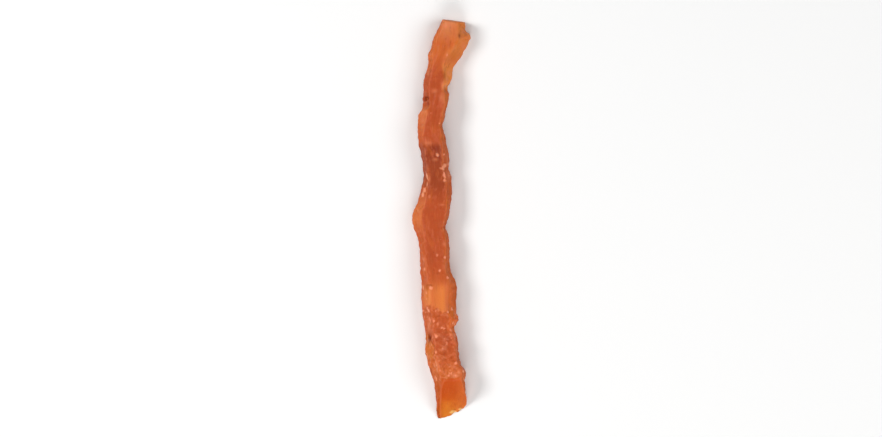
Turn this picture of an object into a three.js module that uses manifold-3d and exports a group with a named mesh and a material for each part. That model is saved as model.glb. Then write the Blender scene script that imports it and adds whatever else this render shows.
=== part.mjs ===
// A chicken cat treat: one dried strip of breast meat, lying on its flat side with its better side up.
// Millimetres, +Z up. +Y runs along the strip, from the bevelled end to the head. Seen from above with the
// head at the top, +X is to the right. The origin is the middle of the strip's footprint, on the surface that
// it lies on.

import * as THREE from "three";
import { ImprovedNoise } from "three/addons/math/ImprovedNoise.js";
import { mergeVertices } from "three/addons/utils/BufferGeometryUtils.js";
import Module from "manifold-3d";

// Driving sizes and the look of the meat
const STRIP_LENGTH = 67.8;
const BODY_THICKNESS = 5.2;
const MEAT_COLOUR = 0xc16139;
const MEAT_ROUGHNESS = 0.55;

// The strip before its ends are cut off, and how finely it is divided
const SPARE_END = 2.4;
const RINGS = 116;
const RING_POINTS = 44;

// Side edges seen from above: [along, across]. Along starts at the tip of the bevelled end.
const LEFT_EDGE = [
  [-2.4, -1.2],
  [5.0, -1.15],
  [8.4, -1.95],
  [10.5, -2.5],
  [14.0, -2.75],
  [18.3, -3.35],
  [27.0, -3.6],
  [30.6, -4.05],
  [34.2, -5.15],
  [37.4, -4.15],
  [40.7, -3.25],
  [44.7, -3.5],
  [48.4, -4.15],
  [51.6, -4.05],
  [53.4, -3.5],
  [57.0, -3.3],
  [60.2, -2.45],
  [61.4, -2.55],
  [63.6, -1.8],
  [66.4, -0.65],
  [70.2, 1.6],
];
const RIGHT_EDGE = [
  [-2.4, 4.7],
  [3.0, 4.5],
  [6.8, 4.05],
  [8.4, 4.3],
  [9.4, 3.6],
  [12.0, 3.05],
  [13.9, 3.0],
  [15.6, 2.6],
  [17.1, 3.05],
  [19.0, 2.7],
  [22.0, 2.85],
  [24.2, 2.5],
  [25.2, 1.85],
  [29.0, 1.65],
  [32.6, 1.3],
  [36.4, 1.8],
  [40.0, 2.05],
  [44.5, 1.5],
  [49.7, 0.75],
  [54.5, 1.5],
  [58.4, 2.1],
  [60.0, 2.25],
  [61.6, 3.5],
  [63.2, 4.4],
  [64.9, 5.1],
  [65.7, 4.6],
  [67.4, 4.25],
  [70.2, 3.6],
];

// How the section changes along the strip: its share of the body's thickness, its lift off the surface, how
// far its upper corners stand in from the edges, and how square it is
const SECTIONS = [
  { along: -2.4, thickness: 0.98, lift: 0.2, insetLeft: 1.2, insetRight: 0.2, squareness: 9.0 },
  { along: 6.0, thickness: 1.04, lift: 0.0, insetLeft: 1.25, insetRight: 0.3, squareness: 8.0 },
  { along: 14.0, thickness: 1.0, lift: 0.2, insetLeft: 1.3, insetRight: 0.3, squareness: 7.0 },
  { along: 20.0, thickness: 0.97, lift: 0.8, insetLeft: 1.3, insetRight: 1.3, squareness: 6.0 },
  { along: 27.0, thickness: 0.95, lift: 0.3, insetLeft: 0.5, insetRight: 0.5, squareness: 6.0 },
  { along: 34.5, thickness: 0.92, lift: 0.0, insetLeft: 1.4, insetRight: 0.3, squareness: 6.0 },
  { along: 42.0, thickness: 0.86, lift: 0.6, insetLeft: 0.5, insetRight: 0.8, squareness: 5.0 },
  { along: 47.5, thickness: 0.8, lift: 1.2, insetLeft: 0.5, insetRight: 0.5, squareness: 5.0 },
  { along: 51.3, thickness: 0.78, lift: 1.35, insetLeft: 1.2, insetRight: 0.3, squareness: 5.0 },
  { along: 55.0, thickness: 0.79, lift: 1.0, insetLeft: 0.9, insetRight: 0.4, squareness: 5.0 },
  { along: 57.6, thickness: 0.81, lift: 0.65, insetLeft: 0.9, insetRight: 1.0, squareness: 5.0 },
  { along: 63.0, thickness: 0.9, lift: 0.05, insetLeft: 0.4, insetRight: 1.8, squareness: 6.0 },
  { along: 70.2, thickness: 0.84, lift: 0.7, insetLeft: 0.4, insetRight: 0.4, squareness: 9.0 },
];

// Surface relief, coarse to fine: its depth, and the length of one swell across and along the strip. The
// sides are calmer than the top and the underside.
const RELIEF = [
  { depth: 0.38, across: 4.2, along: 8.5 },
  { depth: 0.2, across: 1.7, along: 12.0 },
  { depth: 0.2, across: 3.4, along: 2.2 },
];
const SIDE_CALM = 0.6;
const RELIEF_SEED = 17.3;

// Furrows between bundles of fibre on the shown side, which wander as they run
const FURROWS = [
  { from: 8.5, to: 20.0, across: 0.9, depth: 0.14, width: 0.6 },
  { from: 24.0, to: 38.0, across: -0.8, depth: 0.14, width: 0.7 },
  { from: 44.0, to: 58.0, across: 0.5, depth: 0.16, width: 0.6 },
];
const FURROW_WANDER = { across: 0.45, along: 2.6 };

// Pinches where the edge draws in: the place along, the side (-1 left, 1 right), the depth and the reach
const PINCHES = [
  { along: 15.4, side: 1, depth: 0.25, reach: 0.8 },
  { along: 32.7, side: 1, depth: 0.4, reach: 0.6 },
  { along: 42.7, side: 1, depth: 0.4, reach: 0.7 },
  { along: 49.7, side: 1, depth: 0.5, reach: 0.7 },
  { along: 52.9, side: -1, depth: 0.3, reach: 0.6 },
  { along: 56.1, side: 1, depth: 0.7, reach: 0.55 },
  { along: 61.0, side: -1, depth: 0.25, reach: 0.7 },
];

// Cracks where the meat has parted: the centre, and half sizes across, along and up
const CRACKS = [
  { centre: [-3.5, 54.2, 3.9], half: [1.5, 0.4, 1.9] },
  { centre: [-1.95, 13.6, 4.9], half: [0.3, 1.4, 1.6] },
];

// The bevel starts this far along on the shown side. On the underside its edge curves away to the right.
const BEVEL_TOP = 6.75;
const BEVEL_CURVE = 0.08;
const BEVEL_TIP_X = -0.9;

// The cut across the head slopes down to the right and leans back a little.
const HEAD_SLOPE = -0.134;
const HEAD_LEAN = -0.1;
const HEAD_TIP_X = 0.3;

// How high the resting spots on the underside are pressed flat
const PRESSED_FLAT = 0.24;

// How far a knife reaches past the strip, and how finely its face is divided across, along and up
const KNIFE_REACH = 12;
const KNIFE_STEPS = [32, 1, 8];

const noise = new ImprovedNoise();
const wasm = await Module();
wasm.setup();

// A smooth curve through a value at each of some places along the strip
function curveThrough(places, values) {
  const curve = new THREE.CubicInterpolant(places, values, 1);
  return (along) => curve.evaluate(along)[0];
}

function edgeCurve(edge) {
  return curveThrough(
    edge.map(([along]) => along),
    edge.map(([, across]) => across),
  );
}

function sectionCurve(trait) {
  return curveThrough(
    SECTIONS.map((section) => section.along),
    SECTIONS.map((section) => section[trait]),
  );
}

const leftEdge = edgeCurve(LEFT_EDGE);
const rightEdge = edgeCurve(RIGHT_EDGE);
const thicknessShare = sectionCurve("thickness");
const liftOff = sectionCurve("lift");
const insetLeft = sectionCurve("insetLeft");
const insetRight = sectionCurve("insetRight");
const squareness = sectionCurve("squareness");

const bump = (distance, reach) => Math.exp(-((distance / reach) ** 2));

// A point of the plain section: across from -1 to 1 and up from -1 to 1, on a rounded rectangle
function sectionPoint(angle, power) {
  const across = Math.cos(angle);
  const up = Math.sin(angle);
  const radius = (Math.abs(across) ** power + Math.abs(up) ** power) ** (-1 / power);
  return { across: across * radius, up: up * radius };
}

function pinchDepth(along, across) {
  return PINCHES.reduce((total, pinch) => {
    const facing = Math.max(0, across * pinch.side) ** 2;
    return total + pinch.depth * facing * bump(along - pinch.along, pinch.reach);
  }, 0);
}

function furrowDepth(along, offset, up) {
  return FURROWS.reduce((total, furrow) => {
    const middle = (furrow.from + furrow.to) / 2;
    const run = bump(along - middle, (furrow.to - furrow.from) / 2.4);
    const wander = FURROW_WANDER.across * Math.sin(along / FURROW_WANDER.along + furrow.across);
    const facing = Math.max(0, up) ** 2;
    return total + furrow.depth * facing * run * bump(offset - furrow.across - wander, furrow.width);
  }, 0);
}

function reliefHeight(point) {
  return RELIEF.reduce((total, swell, index) => {
    const seed = RELIEF_SEED * (index + 1);
    const value = noise.noise(
      point.x / swell.across + seed,
      point.y / swell.along + seed,
      point.z / swell.across - seed,
    );
    return total + swell.depth * value;
  }, 0);
}

// The surface point at a place along the strip and an angle round it. share is 1 on the skin, 0 at the core.
function surfacePoint(along, angle, share) {
  const plain = sectionPoint(angle, squareness(along));
  const upper = THREE.MathUtils.smoothstep(plain.up, -0.5, 1);
  const left = leftEdge(along) + insetLeft(along) * upper;
  const right = rightEdge(along) - insetRight(along) * upper;
  const thickness = BODY_THICKNESS * thicknessShare(along);
  const core = new THREE.Vector3((left + right) / 2, along, liftOff(along) + thickness / 2);
  const skin = core.clone();
  skin.x += (plain.across * (right - left)) / 2;
  skin.z += (plain.up * thickness) / 2;
  const outward = new THREE.Vector3(plain.across, 0, plain.up).normalize();
  const offset = skin.x - (leftEdge(along) + rightEdge(along)) / 2;
  const relief = reliefHeight(skin) * (1 - SIDE_CALM * plain.across ** 2);
  const hollows = pinchDepth(along, plain.across) + furrowDepth(along, offset, plain.up);
  skin.addScaledVector(outward, relief - hollows);
  return core.lerp(skin, share);
}

// A closed tube of meat, longer than the strip at both ends, pressed flat where it rests
function rawStripGeometry() {
  const geometry = new THREE.CylinderGeometry(1, 1, 1, RING_POINTS, RINGS);
  const position = geometry.attributes.position;
  for (let i = 0; i < position.count; i++) {
    const x = position.getX(i);
    const z = position.getZ(i);
    const along = (position.getY(i) + 0.5) * (STRIP_LENGTH + 2 * SPARE_END) - SPARE_END;
    const point = surfacePoint(along, Math.atan2(z, x), Math.hypot(x, z));
    position.setXYZ(i, point.x, point.y, Math.max(point.z, PRESSED_FLAT));
  }
  return geometry;
}

// A box whose near face is the path of a knife: cutAlong gives the face's place along the strip for a point
// across and up.
function knifeGeometry(cutAlong, direction) {
  const geometry = new THREE.BoxGeometry(2 * KNIFE_REACH, 1, 2 * KNIFE_REACH, ...KNIFE_STEPS);
  const position = geometry.attributes.position;
  for (let i = 0; i < position.count; i++) {
    const x = position.getX(i);
    const z = position.getZ(i);
    const onFace = position.getY(i) * direction < 0;
    position.setY(i, cutAlong(x, z) + (onFace ? 0 : KNIFE_REACH * direction));
  }
  return geometry;
}

function bevelCut(x, z) {
  const underside = BEVEL_CURVE * Math.max(0, x - BEVEL_TIP_X) ** 2;
  return THREE.MathUtils.lerp(underside, BEVEL_TOP, z / BODY_THICKNESS);
}

function headCut(x, z) {
  return STRIP_LENGTH + HEAD_SLOPE * (x - HEAD_TIP_X) + HEAD_LEAN * (z - BODY_THICKNESS / 2);
}

function crackGeometry({ centre, half }) {
  return new THREE.OctahedronGeometry(1).scale(...half).translate(...centre);
}

// A closed geometry as a solid that can be cut
function solidOf(geometry) {
  const bare = geometry.clone();
  bare.deleteAttribute("normal");
  bare.deleteAttribute("uv");
  const merged = mergeVertices(bare.index ? bare.toNonIndexed() : bare, 1e-4);
  return new wasm.Manifold(
    new wasm.Mesh({
      numProp: 3,
      vertProperties: merged.attributes.position.array,
      triVerts: new Uint32Array(merged.index.array),
    }),
  );
}

function geometryOf(solid) {
  const { vertProperties, triVerts } = solid.getMesh();
  const geometry = new THREE.BufferGeometry();
  geometry.setAttribute("position", new THREE.BufferAttribute(vertProperties, 3));
  geometry.setIndex(new THREE.BufferAttribute(triVerts, 1));
  geometry.computeVertexNormals();
  return geometry;
}

function stripGeometry() {
  const knives = [knifeGeometry(bevelCut, -1), knifeGeometry(headCut, 1)];
  const tools = [...knives, ...CRACKS.map(crackGeometry)];
  const cut = tools.reduce(
    (strip, tool) => strip.subtract(solidOf(tool)),
    solidOf(rawStripGeometry()),
  );
  const geometry = geometryOf(cut);
  geometry.computeBoundingBox();
  const { min, max } = geometry.boundingBox;
  return geometry.translate(-(min.x + max.x) / 2, -(min.y + max.y) / 2, -min.z);
}

function chickenStrip() {
  const material = new THREE.MeshStandardMaterial({
    color: MEAT_COLOUR,
    roughness: MEAT_ROUGHNESS,
    metalness: 0,
  });
  const strip = new THREE.Mesh(stripGeometry(), material);
  strip.name = "chicken_strip";
  return strip;
}

const catTreat = new THREE.Group();
catTreat.add(chickenStrip());

export default catTreat;
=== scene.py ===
"""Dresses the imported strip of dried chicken: its fine surface, the look of the meat, studio and camera.

Lengths here are in millimetres where a name or a comment doesn't say metres. Along the strip, places are
measured from the tip of the bevelled end.
"""

import math

import bpy
import numpy as np
from mathutils import Matrix, Vector, noise


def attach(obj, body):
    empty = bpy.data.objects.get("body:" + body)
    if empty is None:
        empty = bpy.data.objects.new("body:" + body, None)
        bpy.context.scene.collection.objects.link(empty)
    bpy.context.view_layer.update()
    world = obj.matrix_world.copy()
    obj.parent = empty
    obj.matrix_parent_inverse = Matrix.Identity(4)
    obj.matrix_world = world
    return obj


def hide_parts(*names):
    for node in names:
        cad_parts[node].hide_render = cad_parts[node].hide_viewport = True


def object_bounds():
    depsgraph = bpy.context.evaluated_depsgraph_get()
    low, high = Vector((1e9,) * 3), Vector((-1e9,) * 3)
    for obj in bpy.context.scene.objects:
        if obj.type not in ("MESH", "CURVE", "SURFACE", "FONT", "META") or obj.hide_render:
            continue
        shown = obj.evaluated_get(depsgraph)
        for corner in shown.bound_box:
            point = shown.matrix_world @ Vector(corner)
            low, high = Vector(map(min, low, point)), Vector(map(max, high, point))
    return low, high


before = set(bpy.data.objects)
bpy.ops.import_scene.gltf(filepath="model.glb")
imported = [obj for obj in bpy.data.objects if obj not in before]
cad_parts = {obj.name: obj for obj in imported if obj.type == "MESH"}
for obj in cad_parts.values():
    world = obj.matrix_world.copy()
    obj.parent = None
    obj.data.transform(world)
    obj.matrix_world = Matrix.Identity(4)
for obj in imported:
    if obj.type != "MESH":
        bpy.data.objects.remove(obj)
cad_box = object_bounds()

MM_IN_METRE = 1000.0

# The fine surface: the side of its squares, and how often the facets are smoothed away
SQUARE = 0.126
FACET_SMOOTHING = 7

# The two knife cuts, with the same sizes as the solid
BODY_THICKNESS = 5.2
BEVEL_TOP = 6.75
BEVEL_CURVE = 0.08
BEVEL_TIP_X = -0.9
HEAD_SLOPE = -0.134
HEAD_LEAN = -0.1
HEAD_TIP_X = 0.3

# The left border of the bevelled cut, places along and across, and the slope beside it that runs to the tip
BEVEL_BORDER_ALONG = (2.2, 4.8, 6.7)
BEVEL_BORDER_ACROSS = (-0.25, -0.15, 0.45)
BEVEL_SLOPE_DEPTH = 0.15

# The bitten rim of the bevel: where it fades in, and how deep the bites are
RIM_UP = (1.3, 0.3)
RIM_ALONG = (4.2, 3.2)
RIM_ACROSS = (0.6, 1.4)
RIM_BITE = 0.45

# The head's right edge: where it begins across, then the tab and the notch over it along the strip
HEAD_EDGE_ACROSS = (3.4, 4.4)
TAB_STRETCH = (64.1, 65.2)
TAB_HEIGHT = 0.14
NOTCH_STRETCH = (65.5, 66.1)
NOTCH_DEPTH = 0.16

# Stretches along the strip: from, to
ROUGH_STRETCH = (6.4, 18.4)
DARK_STRETCH = (40.5, 46.1)

# The film of fat: its top, its ragged lower border as places across and along, and the rounds that smooth it
FILM_TOP = 22.7
FILM_BORDER_ACROSS = (-3.0, -2.2, -1.6, -1.0, -0.3, 0.6, 1.3, 2.0, 2.8)
FILM_BORDER_ALONG = (18.6, 18.9, 18.9, 18.5, 17.9, 17.6, 17.8, 18.2, 18.4)
FILM_SMOOTHING = 80

# The sliver that has come loose beside the left edge: places along, its middle and its half width there
SLIVER_ALONG = (10.0, 12.3, 13.2, 14.2)
SLIVER_ACROSS = (-2.08, -2.08, -2.36, -2.6)
SLIVER_HALF_WIDTH = (0.65, 0.65, 0.42, 0.12)
SLIVER_HEIGHT = 0.08
CREASE_DEPTH = 0.07

# The loose fibre at the right edge: its place and half size across and along, and its height
SPLINTER_ACROSS = 2.75
SPLINTER_HALF_WIDTH = 0.35
SPLINTER_ALONG = 16.6
SPLINTER_HALF_LENGTH = 0.14
SPLINTER_HEIGHT = 0.12

# Marks on the shown side: across, along, half width, half length, depth and how dark each is
# The stains are dark in their own colour; in the pit, slits and splits the darkness is painted shade.
MARKS = {
    "pit in the head": (3.2, 64.52, 0.32, 0.42, 0.12, 0.8),
    "stain on the neck's right": (0.62, 57.5, 0.28, 0.8, 0.0, 0.3),
    "slit at the neck": (-2.72, 54.0, 0.62, 0.4, 0.3, 1.0),
    "stain over the slit": (-2.5, 54.65, 0.5, 0.35, 0.02, 0.35),
    "stain under the slit": (-2.27, 53.15, 0.32, 0.6, 0.05, 0.6),
    "slit beside the sliver": (-2.12, 13.55, 0.3, 0.75, 0.26, 1.0),
    "split at the top of the film": (-1.9, 22.41, 0.5, 0.1, 0.06, 0.5),
    "split over the sliver": (-1.8, 7.97, 0.12, 0.5, 0.08, 0.5),
}

# Soft patches of colour on the shown side: across, along, half width and half length
GOLDEN_PATCHES = [
    (3.5, 66.06, 0.7, 0.9),
    (2.85, 63.38, 0.5, 0.7),
    (2.2, 61.01, 0.7, 1.0),
    (3.1, 60.61, 0.25, 0.9),
    (1.55, 57.35, 0.3, 0.45),
    (0.95, 53.88, 0.16, 1.0),
    (0.2, 47.25, 0.4, 0.5),
    (1.1, 36.17, 0.22, 1.1),
    (-2.5, 21.92, 0.35, 0.5),
    (-2.4, 20.63, 0.25, 0.3),
    (2.2, 17.66, 0.25, 0.8),
    (0.7, 1.34, 1.3, 0.6),
]
# Painted soft highlights, salmon
SOFT_HIGHLIGHT_PATCHES = [
    (0.9, 66.25, 1.1, 0.7),
    (4.0, 65.36, 0.3, 0.4),
    (3.9, 62.79, 0.35, 0.6),
    (1.0, 61.21, 0.2, 0.4),
    (-2.35, 58.24, 0.2, 0.5),
    (1.45, 58.24, 0.35, 0.5),
    (1.2, 57.15, 0.3, 0.4),
    (1.5, 56.16, 0.3, 0.3),
    (0.25, 56.06, 0.3, 0.7),
    (-1.1, 55.17, 0.5, 0.4),
    (0.3, 53.98, 0.5, 1.0),
    (-3.2, 51.71, 0.45, 0.55),
    (-3.2, 50.12, 0.4, 1.0),
    (-2.1, 46.36, 0.7, 0.35),
    (-1.0, 43.59, 0.5, 0.3),
    (0.5, 44.38, 0.3, 0.22),
    (1.4, 41.12, 0.3, 0.7),
    (-2.0, 40.23, 0.2, 0.6),
    (0.2, 35.97, 0.4, 0.15),
    (0.55, 29.34, 0.35, 0.35),
    (-3.1, 26.77, 0.35, 0.35),
    (-2.9, 25.09, 0.3, 0.35),
    (-2.1, 15.69, 0.3, 1.2),
    (-0.85, 13.9, 0.3, 0.4),
    (-0.7, 8.96, 0.35, 1.0),
    (2.3, 14.2, 0.3, 0.5),
    (2.4, 7.27, 0.9, 0.3),
    (3.3, 1.63, 0.45, 0.2),
]
BROWN_PATCHES = [
    (0.55, 57.9, 0.35, 0.8),
    (0.25, 47.06, 0.35, 0.35),
    (-2.85, 45.77, 0.3, 0.3),
    (-0.1, 41.02, 0.18, 0.18),
    (1.15, 35.97, 0.12, 0.9),
    (-0.5, 24.39, 0.3, 0.22),
    (-2.4, 22.2, 0.5, 0.7),
    (-1.5, 17.4, 0.4, 0.3),
    (1.0, 17.76, 0.18, 0.18),
    (-0.5, 17.17, 0.5, 0.15),
    (2.25, 17.57, 0.16, 0.45),
    (-3.3, 17.37, 0.15, 0.5),
    (-3.2, 14.89, 0.2, 0.9),
    (-1.85, 7.87, 0.1, 0.5),
    (0.4, 10.74, 0.3, 0.2),
    (1.75, 10.24, 0.25, 0.2),
    (2.8, 9.75, 0.25, 0.2),
]

# Glistening flecks of fat on the shown side, painted pale as highlights: across, along, half width and half
# length
HIGHLIGHT_FLECKS = [
    (1.0, 61.2, 0.17, 0.24),
    (-0.18, 49.7, 0.2, 0.14),
    (-0.55, 44.34, 0.3, 0.3),
    (0.6, 44.43, 0.3, 0.14),
    (1.93, 42.9, 0.28, 0.26),
    (0.72, 42.55, 0.45, 0.4),
    (0.55, 42.3, 0.36, 0.36),
    (0.42, 42.06, 0.5, 0.3),
    (0.62, 40.92, 0.3, 0.5),
    (0.63, 40.13, 0.26, 0.36),
    (-2.48, 40.75, 0.3, 0.6),
    (-2.5, 39.4, 0.24, 0.4),
    (-2.9, 38.5, 0.5, 0.5),
    (-3.2, 37.8, 0.36, 0.45),
    (0.7, 27.07, 0.26, 0.26),
    (-3.0, 25.09, 0.22, 0.26),
    (-0.23, 24.89, 0.24, 0.26),
    (1.2, 23.7, 0.3, 0.3),
    (-1.7, 21.87, 0.3, 0.34),
    (-3.13, 22.12, 0.22, 0.4),
    (-2.55, 21.18, 0.2, 0.2),
    (-2.4, 18.51, 0.28, 0.26),
    (-2.16, 18.16, 0.28, 0.26),
    (-3.1, 18.16, 0.28, 0.22),
    (1.88, 18.46, 0.26, 0.32),
    (1.2, 17.96, 0.22, 0.26),
    (-1.2, 16.38, 0.26, 0.26),
    (2.17, 16.03, 0.2, 0.3),
    (2.4, 15.74, 0.2, 0.26),
    (1.7, 14.84, 0.24, 0.3),
    (-2.4, 13.51, 0.1, 0.7),
    (-0.85, 13.81, 0.22, 0.26),
    (0.19, 15.25, 0.26, 0.16),
    (0.6, 15.14, 0.24, 0.14),
    (-0.84, 11.13, 0.2, 0.26),
    (2.52, 9.25, 0.2, 0.24),
    (4.0, 8.1, 0.36, 0.4),
    (1.38, 7.18, 0.2, 0.22),
    (1.71, 7.52, 0.15, 0.22),
    (2.43, 7.22, 0.16, 0.18),
    (-1.0, 6.68, 0.18, 0.45),
    (1.9, 1.09, 0.42, 0.3),
    (2.25, 0.99, 0.3, 0.22),
    (3.25, 1.63, 0.3, 0.2),
]

# How high a fleck stands, as a share of its half width
FLECK_HEIGHT_SHARE = 0.15

# Smaller flecks, scattered by chance: how many, their half width, how much longer than wide, and how bright
SCATTERED_FLECKS = 125
FLECK_SEED = 11
FLECK_HALF_WIDTH = 0.1
FLECK_SPARE_WIDTH = 0.14
FLECK_STRETCH = (0.8, 2.2)
FLECK_BRIGHTNESS = (0.15, 0.7)

# How far apart the noise of two seeds lies
SEED_STEP = 17.3

# The studio's lights, in metres and watts: the place, the side of the square and the power
LIGHTS = {
    "left": ((-0.30, 0.08, 0.34), 0.14, 1.2),
    "right": ((0.30, 0.00, 0.36), 0.26, 0.8),
    "front": ((-0.02, -0.38, 0.36), 0.30, 1.15),
}
WORLD_STRENGTH = 0.16
FLOOR_REACH = 3.0

# The camera looks down on the strip, whose length nearly fills the height of the picture
PICTURE_SIZE = (882, 437)
CAMERA_ELEVATION = math.radians(88.0)
CAMERA_LENS = 300.0
SENSOR_WIDTH = 36.0
STRIP_SHARE_OF_HEIGHT = 0.92


def smoothstep(low, high, values):
    """0 below low and 1 above high, with a smooth step between them. high may be the lower one."""
    share = np.clip((values - low) / (high - low), 0.0, 1.0)
    return share * share * (3.0 - 2.0 * share)


def stretch(along, ends, soft):
    """1 between two places along the strip, fading to 0 outside them."""
    low, high = ends
    return smoothstep(low - soft, low + soft, along) * smoothstep(high + soft, high - soft, along)


def swells(places, size, seed):
    """Smooth noise from about -1 to 1. size is how long one swell is across x, y and z."""
    moved = places / np.array(size) + SEED_STEP * seed
    return np.array([noise.noise(place) for place in moved.tolist()])


def seams(places, size, width, seed):
    """Thin wandering lines: 1 along the line, falling to 0 beside it."""
    return np.exp(-((swells(places, size, seed) / width) ** 2))


def spot(skin, across, along, half_width, half_length):
    """1 at a place on the shown side, fading out over its half width and half length."""
    away = ((skin.points[:, 0] - across) / half_width) ** 2 + ((skin.along - along) / half_length) ** 2
    return np.exp(-away) * smoothstep(-0.2, 0.2, skin.normals[:, 2])


class Skin:
    """The strip's fine surface as arrays: points, outward normals, and the pair of points of each edge."""

    def __init__(self, mesh):
        self.mesh = mesh
        count = len(mesh.vertices)
        points = np.empty(count * 3, np.float32)
        mesh.vertices.foreach_get("co", points)
        self.points = points.reshape(count, 3).astype(float)
        pairs = np.empty(len(mesh.edges) * 2, np.int32)
        mesh.edges.foreach_get("vertices", pairs)
        self.pairs = pairs.reshape(-1, 2)
        self.neighbours = np.bincount(pairs, minlength=count)
        self.measure()

    def measure(self):
        """Gives the mesh the points as they are now, and reads back its normals."""
        self.mesh.vertices.foreach_set("co", self.points.astype(np.float32).ravel())
        self.mesh.update()
        normals = np.empty(len(self.points) * 3, np.float32)
        self.mesh.vertex_normals.foreach_get("vector", normals)
        self.normals = normals.reshape(-1, 3).astype(float)
        self.along = self.points[:, 1] - self.points[:, 1].min()

    def blurred(self, values, rounds):
        """The values, evened out between neighbours. Each round reaches about one square further."""
        first, second = self.pairs.T
        columns = values.reshape(len(values), -1).T
        for _ in range(rounds):
            sums = [
                np.bincount(first, column[second], len(column))
                + np.bincount(second, column[first], len(column))
                for column in columns
            ]
            columns = 0.5 * columns + 0.5 * np.array(sums) / self.neighbours
        return columns.T.reshape(values.shape)

    def raised(self, rounds):
        """How far each point stands proud of its surroundings, outward."""
        return np.einsum("ij,ij->i", self.points - self.blurred(self.points, rounds), self.normals)

    def move(self, heights):
        """Moves every point outward by its height. The underside stays on the surface it lies on."""
        self.points += self.normals * heights[:, None]
        self.points[:, 2] = np.maximum(self.points[:, 2], 0.0)
        self.measure()

    def store(self, name, values):
        """Keeps one number, or three, for each point, for the material to read."""
        kind, key = ("FLOAT", "value") if values.ndim == 1 else ("FLOAT_VECTOR", "vector")
        attribute = self.mesh.attributes.new(name, kind, "POINT")
        attribute.data.foreach_set(key, values.astype(np.float32).ravel())


def fine_mesh(node):
    """The node's form in millimetres, divided into small even squares."""
    mesh = node.data.copy()
    mesh.materials.clear()
    mesh.transform(Matrix.Scale(MM_IN_METRE, 4))
    coarse = bpy.data.objects.new("coarse_strip", mesh)
    bpy.context.scene.collection.objects.link(coarse)
    remesh = coarse.modifiers.new("even squares", "REMESH")
    remesh.mode = "VOXEL"
    remesh.voxel_size = SQUARE
    fine = bpy.data.meshes.new_from_object(coarse.evaluated_get(bpy.context.evaluated_depsgraph_get()))
    bpy.data.objects.remove(coarse)
    return fine


def straightened(skin):
    """The points as if the strip ran straight, so that fibres follow its bends."""
    stations = np.arange(skin.points[:, 1].min(), skin.points[:, 1].max(), 1.0)
    near = [skin.points[np.abs(skin.points[:, 1] - station) < 1.5] for station in stations]
    middles = np.array([(points.min(0) + points.max(0)) / 2 for points in near])
    places = skin.points.copy()
    for across_or_up in (0, 2):
        places[:, across_or_up] -= np.interp(places[:, 1], stations, middles[:, across_or_up])
    return places


def cut_faces(skin):
    """How far each point belongs to the bevelled cut and to the cut across the head: 1 on it, 0 off it."""
    x, z, along = skin.points[:, 0], skin.points[:, 2], skin.along
    underside = BEVEL_CURVE * np.maximum(0.0, x - BEVEL_TIP_X) ** 2
    bevel = underside + (BEVEL_TOP - underside) * z / BODY_THICKNESS
    head = along.max() + HEAD_SLOPE * (x - HEAD_TIP_X) + HEAD_LEAN * (z - BODY_THICKNESS / 2)
    return smoothstep(0.35, 0.12, along - bevel), smoothstep(0.6, 0.25, head - along)


def scallops(places, size):
    """Dents that meet in sharp ridges: 1 in a dent's middle, near 0 on a ridge. size is how long one is."""
    nearest = np.array([noise.voronoi(place)[0][0] for place in (places / np.array(size)).tolist()])
    return 1.0 - np.minimum(nearest, 1.0) ** 2


def film_shape(skin, along):
    """The film of fat: 1 on it, 0 off it."""
    border = np.interp(skin.points[:, 0], FILM_BORDER_ACROSS, FILM_BORDER_ALONG)
    border += 0.6 * swells(skin.points, (0.42, 0.5, 0.42), 19)
    return smoothstep(border - 0.4, border + 0.4, along) * smoothstep(FILM_TOP + 1.0, FILM_TOP - 1.4, along)


def sliver_shape(skin):
    """The loose sliver: 1 on it, and 1 in the crease between it and the body."""
    away = skin.points[:, 0] - np.interp(skin.along, SLIVER_ALONG, SLIVER_ACROSS)
    half_width = np.interp(skin.along, SLIVER_ALONG, SLIVER_HALF_WIDTH)
    run = stretch(skin.along, (SLIVER_ALONG[0], SLIVER_ALONG[-1]), 0.3) * (skin.normals[:, 2] > 0.1)
    crease = np.exp(-(((away - half_width - 0.1) / 0.12) ** 2))
    return run * smoothstep(half_width + 0.1, half_width - 0.1, np.abs(away)), run * crease


def mark_shape(skin):
    """How deep the marks are, and how dark: stains in their own colour, painted shade in the pit, slits and
    splits.
    """
    depth = np.zeros(len(skin.points))
    dark = np.zeros(len(skin.points))
    for across, along, half_width, half_length, most, darkness in MARKS.values():
        share = spot(skin, across, along, half_width, half_length)
        depth += most * share
        dark = np.maximum(dark, darkness * share)
    return depth, dark


def patch_shape(skin, patches):
    """1 in the middle of each soft patch, fading to 0 outside it."""
    return np.max([spot(skin, *patch) for patch in patches], axis=0)


def fleck_places(skin, likely):
    """Where flecks lie, how large and how bright: those listed, then scattered ones where likely."""
    chosen = []
    for across, along, half_width, half_length in HIGHLIGHT_FLECKS:
        away = (skin.points[:, 0] - across) ** 2 + (skin.along - along) ** 2
        away[skin.normals[:, 2] < 0.3] = np.inf
        chosen.append((int(np.argmin(away)), half_width, half_length, 1.0))
    draws = np.random.default_rng(FLECK_SEED)
    scattered = draws.choice(len(likely), SCATTERED_FLECKS, replace=False, p=likely / likely.sum())
    for point in scattered.tolist():
        half_width = FLECK_HALF_WIDTH + FLECK_SPARE_WIDTH * draws.random() ** 2
        half_length = half_width * draws.uniform(*FLECK_STRETCH)
        chosen.append((point, half_width, half_length, draws.uniform(*FLECK_BRIGHTNESS)))
    return chosen


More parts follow.
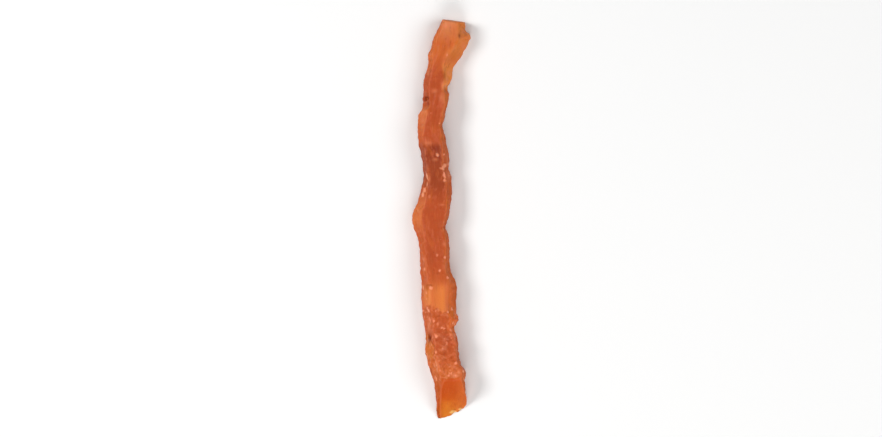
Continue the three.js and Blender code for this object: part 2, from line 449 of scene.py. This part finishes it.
def fleck_shape(skin, likely):
    """How far each point stands on a fleck, and how high that lifts it. The flecks have ragged outlines."""
    share = np.zeros(len(skin.points))
    height = np.zeros(len(skin.points))
    ragged = 1.0 + swells(skin.points, (0.3, 0.34, 0.3), 13) + 0.5 * swells(skin.points, (1.0, 1.0, 1.0), 15)
    for point, half_width, half_length, brightness in fleck_places(skin, likely):
        sizes = np.array([half_width, half_length, 1.3 * half_width])
        away = np.maximum(ragged, 0.3) * (((skin.points - skin.points[point]) / sizes) ** 2).sum(1)
        fleck = brightness * smoothstep(1.5, 0.1, away)
        share = np.maximum(share, fleck)
        height = np.maximum(height, FLECK_HEIGHT_SHARE * half_width * fleck)
    return share, height


def find_zones(skin, places):
    """What each point belongs to, as shares from 0 to 1."""
    along = skin.along + 0.35 * swells(places, (1.5, 1.5, 1.5), 1)
    bevel, head_cut = cut_faces(skin)
    border = np.interp(skin.along, BEVEL_BORDER_ALONG, BEVEL_BORDER_ACROSS)
    slope = smoothstep(0.2, -0.2, skin.points[:, 0] - border)
    beside_bevel = bevel * slope
    bevel = bevel * (1.0 - slope)
    return {
        "bevel": bevel,
        "beside_bevel": beside_bevel,
        "meat": (1.0 - bevel) * (1.0 - head_cut),
        "rough": stretch(along, ROUGH_STRETCH, 0.5),
        "film": film_shape(skin, along),
        "dark": stretch(along, DARK_STRETCH, 0.8),
        "arris": smoothstep(0.05, 0.2, skin.raised(40)),
    }


def relief(skin, places, zones):
    """How far the meat's relief lifts each point. Each kind has its depth and the size of one swell."""
    patchy = smoothstep(-0.1, 0.4, swells(places, (2.4, 3.6, 2.4), 2))
    lumps = 0.10 * swells(places, (1.7, 3.0, 1.7), 3) + 0.05 * swells(places, (0.8, 1.3, 0.8), 12)
    bundles = 0.05 * swells(places, (0.7, 7.5, 0.7), 4)
    threads = 0.024 * swells(places, (0.32, 3.4, 0.32), 5)
    wrinkles = 0.035 * patchy * swells(places, (1.7, 0.6, 1.7), 6)
    grains = 0.10 * swells(places, (1.1, 0.95, 1.1), 7) + 0.05 * swells(places, (0.45, 0.42, 0.45), 8)
    folds = 0.05 * seams(places, (1.5, 1.9, 1.5), 0.14, 14)
    splits = 0.03 * patchy * seams(places, (1.0, 8.5, 1.0), 0.07, 9)
    cracks = 0.02 * patchy * seams(places, (2.4, 1.1, 2.4), 0.06, 10)
    dents = 0.06 * scallops(places, (1.6, 2.8, 1.6))
    pores = 0.025 * smoothstep(0.82, 0.97, scallops(places, (0.75, 0.9, 0.75))) * (1.0 - 0.6 * patchy)
    nicks = 0.22 * scallops(places, (1.1, 1.5, 1.1)) + 0.08 * scallops(places, (0.5, 0.6, 0.5))
    nicks *= zones["arris"]
    steps = 0.2 * scallops(places, (3.2, 1.7, 3.2)) + 0.1 * swells(places, (1.2, 0.6, 1.2), 17)
    steps *= smoothstep(0.5, 0.9, np.abs(skin.normals[:, 0]))

    rough, film, meat = zones["rough"], zones["film"], zones["meat"]
    fibres = (bundles + threads - splits) * (1.0 - 0.7 * rough)
    plain = lumps + fibres + wrinkles + 0.25 * grains - cracks - dents - pores
    heights = plain * (1.0 - 0.6 * film) + rough * (grains + folds) + 0.03 * film
    return heights * (0.3 + 0.7 * meat) - (nicks + steps) * (0.4 + 0.6 * meat)


def edge_shape(skin):
    """How far the loose fibre, the tab and the notch at the edges lift each point."""
    across = (skin.points[:, 0] - SPLINTER_ACROSS) / SPLINTER_HALF_WIDTH
    along = (skin.along - SPLINTER_ALONG) / SPLINTER_HALF_LENGTH
    splinter = np.exp(-(across**2) - along**2)
    outer = smoothstep(*HEAD_EDGE_ACROSS, skin.points[:, 0])
    tab = outer * stretch(skin.along, TAB_STRETCH, 0.2)
    notch = outer * stretch(skin.along, NOTCH_STRETCH, 0.25)
    return SPLINTER_HEIGHT * splinter + TAB_HEIGHT * tab - NOTCH_DEPTH * notch


def rim_bites(skin):
    """How far small bites draw each point of the bevel's lower rim in, along the strip."""
    rim = smoothstep(*RIM_UP, skin.points[:, 2]) * smoothstep(*RIM_ALONG, skin.along)
    rim *= smoothstep(*RIM_ACROSS, skin.points[:, 0])
    bites = np.maximum(0.0, swells(skin.points * (1.0, 0.0, 0.0), (0.9, 1.0, 1.0), 20) + 0.1)
    return RIM_BITE * rim * bites


def fleck_chances(skin, zones):
    """How likely a scattered fleck is at each point: most on the rough stretch, and on arrises."""
    arris = zones["arris"]
    likely = 0.03 + 0.8 * zones["rough"] + 0.8 * zones["dark"] * arris + 1.0 * zones["film"] * arris
    likely += 0.35 * arris
    likely *= zones["meat"] * smoothstep(-0.5, 0.6, skin.normals[:, 2])
    return likely


def carve(skin):
    """Gives the smooth form its relief, marks and flecks, and keeps what the colours need."""
    places = straightened(skin)
    places[:, 0] += 0.25 * swells(places, (3.0, 5.0, 3.0), 16)
    across = skin.points[:, 0].copy()
    zones = find_zones(skin, places)
    sliver, crease = sliver_shape(skin)
    mark_depth, dark_stain_and_shade = mark_shape(skin)
    heights = relief(skin, places, zones) + edge_shape(skin)
    heights += SLIVER_HEIGHT * sliver - CREASE_DEPTH * crease - mark_depth
    heights -= BEVEL_SLOPE_DEPTH * zones["beside_bevel"]
    fleck, fleck_height = fleck_shape(skin, fleck_chances(skin, zones))
    # The salmon patches are painted soft highlights
    for name, patches in (("golden", GOLDEN_PATCHES), ("salmon", SOFT_HIGHLIGHT_PATCHES), ("brown", BROWN_PATCHES)):
        skin.store(name, patch_shape(skin, patches))
    skin.points[:, 1] += rim_bites(skin)
    skin.move(heights + fleck_height)

    for name in ("bevel", "rough", "film", "dark", "arris"):
        skin.store(name, zones[name])
    skin.store("straight", places)
    skin.store("across", across)
    skin.store("middle", places[:, 0])
    skin.store("along", skin.along)
    # How deep each point lies in a hollow, below 0 on a rise: the material paints shade in hollows and a
    # highlight on rises
    skin.store("hollow", np.clip(-skin.raised(8) / 0.03, -1.0, 1.0) * (1.0 - fleck))
    # How far each point lies on a fleck: the material paints it pale as a highlight and gives it a glossy
    # coat
    skin.store("fleck", fleck)
    skin.store("sliver", sliver)
    # Stains, and painted shade in the pit, slits, splits and the crease beside the sliver
    skin.store("stain_and_shade", np.maximum(dark_stain_and_shade, 0.2 * crease))
    store_facings(skin, places, zones["meat"])


def store_facings(skin, places, meat):
    """Keeps how far the smoothed surface faces up, left and right, and how upright it stands. The material
    paints light and shade on the side facets and shade on the walls by these.
    """
    facing = skin.blurred(skin.normals, 18)
    skin.store("facing_up", smoothstep(-0.1, 0.85, facing[:, 2]))
    # How upright the surface stands: the material paints shade on these walls
    skin.store("shaded_wall", smoothstep(0.2, 0.02, np.abs(facing[:, 2])) * meat)
    leaning = facing[:, 0] + 0.14 * swells(places, (0.9, 1.6, 0.9), 18)
    skin.store("facing_left", smoothstep(0.3, 0.75, -leaning))
    skin.store("facing_right", smoothstep(0.1, 0.55, leaning))


def srgb(red, green, blue):
    """A screen colour, 0 to 255, as Blender's linear colour."""
    shares = [value / 255.0 for value in (red, green, blue)]
    linear = [share / 12.92 if share <= 0.04045 else ((share + 0.055) / 1.055) ** 2.4 for share in shares]
    return (*linear, 1.0)


# The colours of dried meat and fat, some also used for painted light and shade
CHESTNUT = srgb(143, 57, 31)
UMBER = srgb(157, 69, 38)
BARK = srgb(156, 61, 18)
SEPIA = srgb(168, 70, 32)
RUST = srgb(182, 79, 25)
BRICK = srgb(183, 81, 43)
COPPER = srgb(194, 90, 45)
AMBER = srgb(205, 103, 48)
OCHRE = srgb(206, 110, 34)
APRICOT = srgb(214, 114, 61)
ORANGE = srgb(223, 106, 42)
HONEY = srgb(225, 128, 63)
GOLD = srgb(238, 140, 68)
CORAL = srgb(202, 104, 74)
PEACH = srgb(214, 130, 80)
SALMON = srgb(226, 133, 91)
# Painted highlights on the flecks: pink on the meat, cream on the bevelled cut
FLECK_HIGHLIGHT_PINK = srgb(244, 154, 114)
FLECK_HIGHLIGHT_CREAM = srgb(255, 200, 120)
# Dark stains, and painted shade in the pit, slits, splits and crease
STAIN_AND_SHADE_BROWN = srgb(126, 40, 0)

# The bevelled cut's colours: from its lower rim to its top, and at its left and right
# The paleness towards the lower rim is painted light, shining through the thin wedge.
BEVEL_TINTS = [(0.0, srgb(224, 126, 40)), (0.45, srgb(206, 94, 28)), (1.0, srgb(196, 80, 26))]
BEVEL_LEFT = srgb(180, 66, 14)
BEVEL_RIGHT = srgb(224, 118, 58)

# The colour along the middle of the shown side: the place, and the colour there
MIDDLE_TINTS = [
    (5.4, RUST),
    (7.6, AMBER),
    (10.0, COPPER),
    (13.6, BRICK),
    (17.0, COPPER),
    (23.6, COPPER),
    (26.5, BRICK),
    (36.4, BRICK),
    (39.4, UMBER),
    (42.7, UMBER),
    (43.8, CHESTNUT),
    (45.6, CHESTNUT),
    (46.6, BRICK),
    (58.6, BRICK),
    (61.4, AMBER),
    (63.0, AMBER),
    (66.4, PEACH),
]
TINT_REACH = 68.0

# The same for the sloping side facets, left and right of the shown side, and how far they cover the rest
# These facet tints are partly painted light and shade: each side lighter or darker by how it faces the
# lamps.
FACET_SHARE = 0.92
LEFT_LIGHT_AND_SHADE_TINTS = [
    (4.0, RUST),
    (9.0, AMBER),
    (13.0, COPPER),
    (31.2, COPPER),
    (33.5, APRICOT),
    (35.7, APRICOT),
    (37.9, COPPER),
    (40.6, UMBER),
    (45.6, UMBER),
    (47.1, COPPER),
    (52.0, APRICOT),
    (53.0, BRICK),
    (57.9, BRICK),
    (59.9, AMBER),
]
RIGHT_LIGHT_AND_SHADE_TINTS = [
    (6.0, AMBER),
    (13.6, COPPER),
    (14.8, ORANGE),
    (17.8, ORANGE),
    (19.0, AMBER),
    (39.6, COPPER),
    (55.0, AMBER),
    (56.0, GOLD),
    (59.0, GOLD),
    (60.4, APRICOT),
    (62.0, HONEY),
]

# The colour of the film of fat across it, measured from the strip's middle
# Across the film the tints are partly painted light and shade, set by how its middle and sloping sides face
# the lamps.
FILM_TINTS = [
    (-3.1, COPPER),
    (-2.6, APRICOT),
    (-1.6, HONEY),
    (-1.1, APRICOT),
    (0.6, HONEY),
    (1.1, APRICOT),
    (2.1, ORANGE),
    (3.2, RUST),
]
FILM_TINT_REACH = 3.3


class MaterialNodes:
    """Short ways to add nodes to a material and join them."""

    def __init__(self, material):
        self.tree = material.node_tree

    def add(self, kind, inputs=None, **settings):
        """A new node, with its settings made and its inputs fed."""
        node = self.tree.nodes.new(kind)
        for name, value in settings.items():
            setattr(node, name, value)
        for name, value in (inputs or {}).items():
            self.feed(node.inputs[name], value)
        return node

    def feed(self, socket, value):
        """Joins an input to another node's output, or gives it a plain value."""
        if isinstance(value, bpy.types.NodeSocket):
            self.tree.links.new(value, socket)
        else:
            socket.default_value = value

    def stored(self, name, output="Fac"):
        """What the surface keeps under a name."""
        return self.add("ShaderNodeAttribute", attribute_name=name).outputs[output]

    def share(self, name, most):
        """The number stored under a name, times most."""
        return self.math("MULTIPLY", self.stored(name), most)

    def math(self, operation, first, second):
        """One sum of two numbers."""
        node = self.add("ShaderNodeMath", operation=operation)
        self.feed(node.inputs[0], first)
        self.feed(node.inputs[1], second)
        return node.outputs[0]

    def spread(self, value, low, high, to_low=0.0, to_high=1.0):
        """to_low where value is low and to_high where it is high, with a smooth step between them."""
        inputs = {"Value": value, "From Min": low, "From Max": high, "To Min": to_low, "To Max": to_high}
        return self.add("ShaderNodeMapRange", inputs, interpolation_type="SMOOTHSTEP").outputs["Result"]

    def grain(self, place, size, detail=2.0):
        """Noise from 0 to 1. size is how long one swell is across x, y and z."""
        stretched = self.add("ShaderNodeVectorMath", operation="MULTIPLY")
        self.feed(stretched.inputs[0], place)
        stretched.inputs[1].default_value = [1.0 / length for length in size]
        inputs = {"Vector": stretched.outputs[0], "Scale": 1.0, "Detail": detail}
        return self.add("ShaderNodeTexNoise", inputs).outputs["Fac"]

    def tinted(self, colour, share, tint):
        """colour, with a share of it taken over by tint."""
        node = self.add("ShaderNodeMix", data_type="RGBA")
        self.feed(node.inputs["Factor"], share)
        self.feed(node.inputs["A"], colour)
        self.feed(node.inputs["B"], tint)
        return node.outputs["Result"]

    def ramp_along(self, tints):
        """Tints by the place along the strip."""
        position = self.math("DIVIDE", self.stored("along"), TINT_REACH)
        return self.ramp(position, [(along / TINT_REACH, tint) for along, tint in tints])

    def ramp_across(self, tints, reach):
        """Tints from reach left of the strip's middle to reach right of it."""
        width = 2.0 * reach
        position = self.math("DIVIDE", self.math("ADD", self.stored("middle"), reach), width)
        return self.ramp(position, [((across + reach) / width, tint) for across, tint in tints])

    def ramp(self, position, stops):
        """Colours that pass evenly from one stop to the next, as position goes from 0 to 1."""
        node = self.add("ShaderNodeValToRGB", {"Fac": position})
        elements = node.color_ramp.elements
        while len(elements) < len(stops):
            elements.new(1.0)
        for element, (place, colour) in zip(elements, stops):
            element.position = place
            element.color = colour
        return node.outputs["Color"]


def bevel_colour(nodes, place):
    """The colour of the bevelled cut: pale at its lower rim, deeper towards its top and its left. The pale
    rim is painted light, shining through the thin wedge.
    """
    uneven = nodes.spread(nodes.grain(place, (1.4, 1.4, 1.4)), 0.3, 0.7, -0.7, 0.7)
    height = nodes.spread(nodes.math("ADD", nodes.stored("along"), uneven), 0.6, 6.2)
    colour = nodes.ramp(height, BEVEL_TINTS)
    across = nodes.stored("across")
    colour = nodes.tinted(colour, nodes.spread(across, 1.0, -0.4, 0.0, 0.55), BEVEL_LEFT)
    return nodes.tinted(colour, nodes.spread(across, 1.8, 4.0, 0.0, 0.45), BEVEL_RIGHT)


def meat_colour(nodes, place):
    """The colour of the meat: tints along the strip, mottled, darker in hollows and paler on flecks. Much of
    this is painted light and shade: shade in hollows, slits and on walls, highlights on rises, edges, flecks
    and salmon patches, and both on the side facets and the film.
    """
    colour = nodes.ramp_along(MIDDLE_TINTS)
    amber = nodes.spread(nodes.grain(place, (1.1, 3.4, 1.1), 3.0), 0.5, 0.72, 0.0, 0.4)
    colour = nodes.tinted(colour, amber, AMBER)
    salmon = nodes.spread(nodes.grain(place, (0.9, 1.5, 1.3), 3.0), 0.52, 0.72, 0.0, 0.35)
    colour = nodes.tinted(colour, salmon, CORAL)

    specks = nodes.spread(nodes.grain(place, (0.8, 0.8, 0.8), 3.0), 0.5, 0.68, 0.0, 0.4)
    colour = nodes.tinted(colour, nodes.math("MULTIPLY", nodes.stored("rough"), specks), SALMON)
    stains = nodes.spread(nodes.grain(place, (1.1, 0.9, 1.1), 3.0), 0.48, 0.32, 0.0, 0.3)
    colour = nodes.tinted(colour, nodes.math("MULTIPLY", nodes.stored("rough"), stains), SEPIA)

    # Painted light and shade on the side facets, partly their own colour
    colour = nodes.tinted(colour, nodes.share("facing_left", FACET_SHARE), nodes.ramp_along(LEFT_LIGHT_AND_SHADE_TINTS))
    colour = nodes.tinted(colour, nodes.share("facing_right", FACET_SHARE), nodes.ramp_along(RIGHT_LIGHT_AND_SHADE_TINTS))
    # The film's tints across, partly painted light and shade
    colour = nodes.tinted(colour, nodes.stored("film"), nodes.ramp_across(FILM_TINTS, FILM_TINT_REACH))
    # Painted shade on the upright walls
    colour = nodes.tinted(colour, nodes.share("shaded_wall", 0.66), BARK)
    # Painted highlight along the edges
    colour = nodes.tinted(colour, nodes.share("arris", 0.1), HONEY)
    colour = nodes.tinted(colour, nodes.stored("bevel"), bevel_colour(nodes, place))

    threads = nodes.spread(nodes.grain(place, (0.24, 3.0, 0.24)), 0.5, 0.75, 0.0, 0.22)
    colour = nodes.tinted(colour, threads, SEPIA)
    pale_threads = nodes.spread(nodes.grain(place, (0.2, 2.0, 0.2)), 0.55, 0.8, 0.0, 0.2)
    colour = nodes.tinted(colour, pale_threads, SALMON)
    dots = nodes.spread(nodes.grain(place, (0.22, 0.24, 0.22), 3.0), 0.55, 0.75, 0.0, 0.2)
    colour = nodes.tinted(colour, dots, SEPIA)

    # Painted shade in hollows, and a painted highlight on rises
    colour = nodes.tinted(colour, nodes.spread(nodes.stored("hollow"), 0.15, 1.0, 0.0, 0.35), BARK)
    colour = nodes.tinted(colour, nodes.spread(nodes.stored("hollow"), -0.2, -1.0, 0.0, 0.25), SALMON)
    colour = nodes.tinted(colour, nodes.share("sliver", 0.6), OCHRE)
    colour = nodes.tinted(colour, nodes.share("golden", 0.5), OCHRE)
    # Painted soft highlights in the salmon patches
    colour = nodes.tinted(colour, nodes.share("salmon", 0.5), SALMON)
    colour = nodes.tinted(colour, nodes.share("brown", 0.5), BARK)
    # The flecks painted pale as highlights, cream on the bevelled cut
    fleck = nodes.tinted(FLECK_HIGHLIGHT_PINK, nodes.stored("bevel"), FLECK_HIGHLIGHT_CREAM)
    colour = nodes.tinted(colour, nodes.share("fleck", 0.8), fleck)
    # Dark stains, and painted shade in the pit, slits, splits and crease
    return nodes.tinted(colour, nodes.stored("stain_and_shade"), STAIN_AND_SHADE_BROWN)


def meat_material():
    """Dried meat: slightly see-through, matt on its walls, with a broken sheen above and shining flecks. Its
    colour holds painted light and shade, and paints the flecks pale as highlights.
    """
    material = bpy.data.materials.new("dried_chicken")
    material.use_nodes = True
    material.node_tree.nodes.clear()
    nodes = MaterialNodes(material)
    place = nodes.stored("straight", "Vector")

    sheen = nodes.spread(nodes.grain(place, (0.7, 1.8, 0.7), 3.0), 0.4, 0.6, 0.0, 0.08)
    shine = nodes.math("MULTIPLY", nodes.stored("facing_up"), sheen)
    for name, share in (("dark", 0.08), ("film", 0.06), ("rough", 0.06), ("fleck", 0.3)):
        shine = nodes.math("ADD", shine, nodes.share(name, share))

    fibres = nodes.math("MULTIPLY", nodes.grain(place, (0.16, 1.4, 0.16)), 0.6)
    specks = nodes.math("MULTIPLY", nodes.grain(place, (0.14, 0.16, 0.14)), 0.4)
    bump = nodes.add(
        "ShaderNodeBump",
        {"Height": nodes.math("ADD", fibres, specks), "Strength": 0.5, "Distance": 0.00006},
    )

    shader = nodes.add(
        "ShaderNodeBsdfPrincipled",
        {
            "Base Color": meat_colour(nodes, place),
            "Roughness": nodes.spread(nodes.grain(place, (0.8, 1.6, 0.8), 3.0), 0.35, 0.65, 0.5, 0.7),
            "Normal": bump.outputs["Normal"],
            "Subsurface Weight": 0.3,
            "Subsurface Radius": (1.0, 0.32, 0.12),
            "Subsurface Scale": 0.0007,
            "IOR": 1.12,
            "Specular IOR Level": 0.5,
            "Coat Weight": shine,
            "Coat Roughness": 0.25,
        },
    )
    output = nodes.add("ShaderNodeOutputMaterial")
    nodes.tree.links.new(shader.outputs["BSDF"], output.inputs["Surface"])
    return material


def make_strip(node):
    """The finished strip, which stands for the plain solid."""
    skin = Skin(fine_mesh(node))
    skin.points = skin.blurred(skin.points, FACET_SMOOTHING)
    film = stretch(skin.along, (min(FILM_BORDER_ALONG), FILM_TOP), 1.5)
    skin.points += film[:, None] * (skin.blurred(skin.points, FILM_SMOOTHING) - skin.points)
    skin.points[:, 2] = np.maximum(skin.points[:, 2], 0.0)
    skin.measure()
    carve(skin)
    skin.mesh.transform(Matrix.Scale(1.0 / MM_IN_METRE, 4))
    skin.mesh.shade_smooth()
    strip = bpy.data.objects.new("dried_chicken_strip", skin.mesh)
    bpy.context.scene.collection.objects.link(strip)
    strip.data.materials.append(meat_material())
    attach(strip, "root")
    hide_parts("chicken_strip")


def make_floor():
    """A plain pale surface, in metres."""
    mesh = bpy.data.meshes.new("floor")
    corners = [(x * FLOOR_REACH, y * FLOOR_REACH, 0.0) for x, y in ((-1, -1), (1, -1), (1, 1), (-1, 1))]
    mesh.from_pydata(corners, [], [(0, 1, 2, 3)])
    floor = bpy.data.objects.new("floor", mesh)
    bpy.context.scene.collection.objects.link(floor)
    material = bpy.data.materials.new("pale_floor")
    material.use_nodes = True
    shader = material.node_tree.nodes["Principled BSDF"]
    shader.inputs["Base Color"].default_value = (0.92, 0.92, 0.915, 1.0)
    shader.inputs["Roughness"].default_value = 0.8
    shader.inputs["Specular IOR Level"].default_value = 0.2
    floor.data.materials.append(material)


def make_light(name, place, size, power):
    """A soft square light that looks at the origin."""
    data = bpy.data.lights.new(name, "AREA")
    data.shape = "SQUARE"
    data.size = size
    data.energy = power
    light = bpy.data.objects.new(name, data)
    bpy.context.scene.collection.objects.link(light)
    light.location = place
    light.rotation_euler = (-Vector(place)).to_track_quat("-Z", "Y").to_euler()


def make_studio():
    """The floor, three soft lights and a faint white surround."""
    make_floor()
    for name, (place, size, power) in LIGHTS.items():
        make_light(name, place, size, power)
    world = bpy.data.worlds.new("studio")
    world.use_nodes = True
    background = world.node_tree.nodes["Background"]
    background.inputs["Color"].default_value = (1.0, 1.0, 1.0, 1.0)
    background.inputs["Strength"].default_value = WORLD_STRENGTH
    bpy.context.scene.world = world


def make_camera():
    """A camera with a long lens, which shows the strip from end to end."""
    low, high = cad_box
    centre = (low + high) / 2
    shown = (high.y - low.y) * math.sin(CAMERA_ELEVATION) + (high.z - low.z) * math.cos(CAMERA_ELEVATION)
    sensor_height = SENSOR_WIDTH * PICTURE_SIZE[1] / PICTURE_SIZE[0]
    distance = CAMERA_LENS * shown / (sensor_height * STRIP_SHARE_OF_HEIGHT)
    data = bpy.data.cameras.new("camera")
    data.lens = CAMERA_LENS
    data.sensor_width = SENSOR_WIDTH
    data.clip_start = 0.01
    camera = bpy.data.objects.new("camera", data)
    bpy.context.scene.collection.objects.link(camera)
    back = Vector((0.0, -math.cos(CAMERA_ELEVATION), math.sin(CAMERA_ELEVATION)))
    camera.location = centre + back * distance
    camera.rotation_euler = (-back).to_track_quat("-Z", "Y").to_euler()
    bpy.context.scene.camera = camera


make_strip(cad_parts["chicken_strip"])
make_studio()
make_camera()
bpy.context.scene.view_settings.view_transform = "Standard"
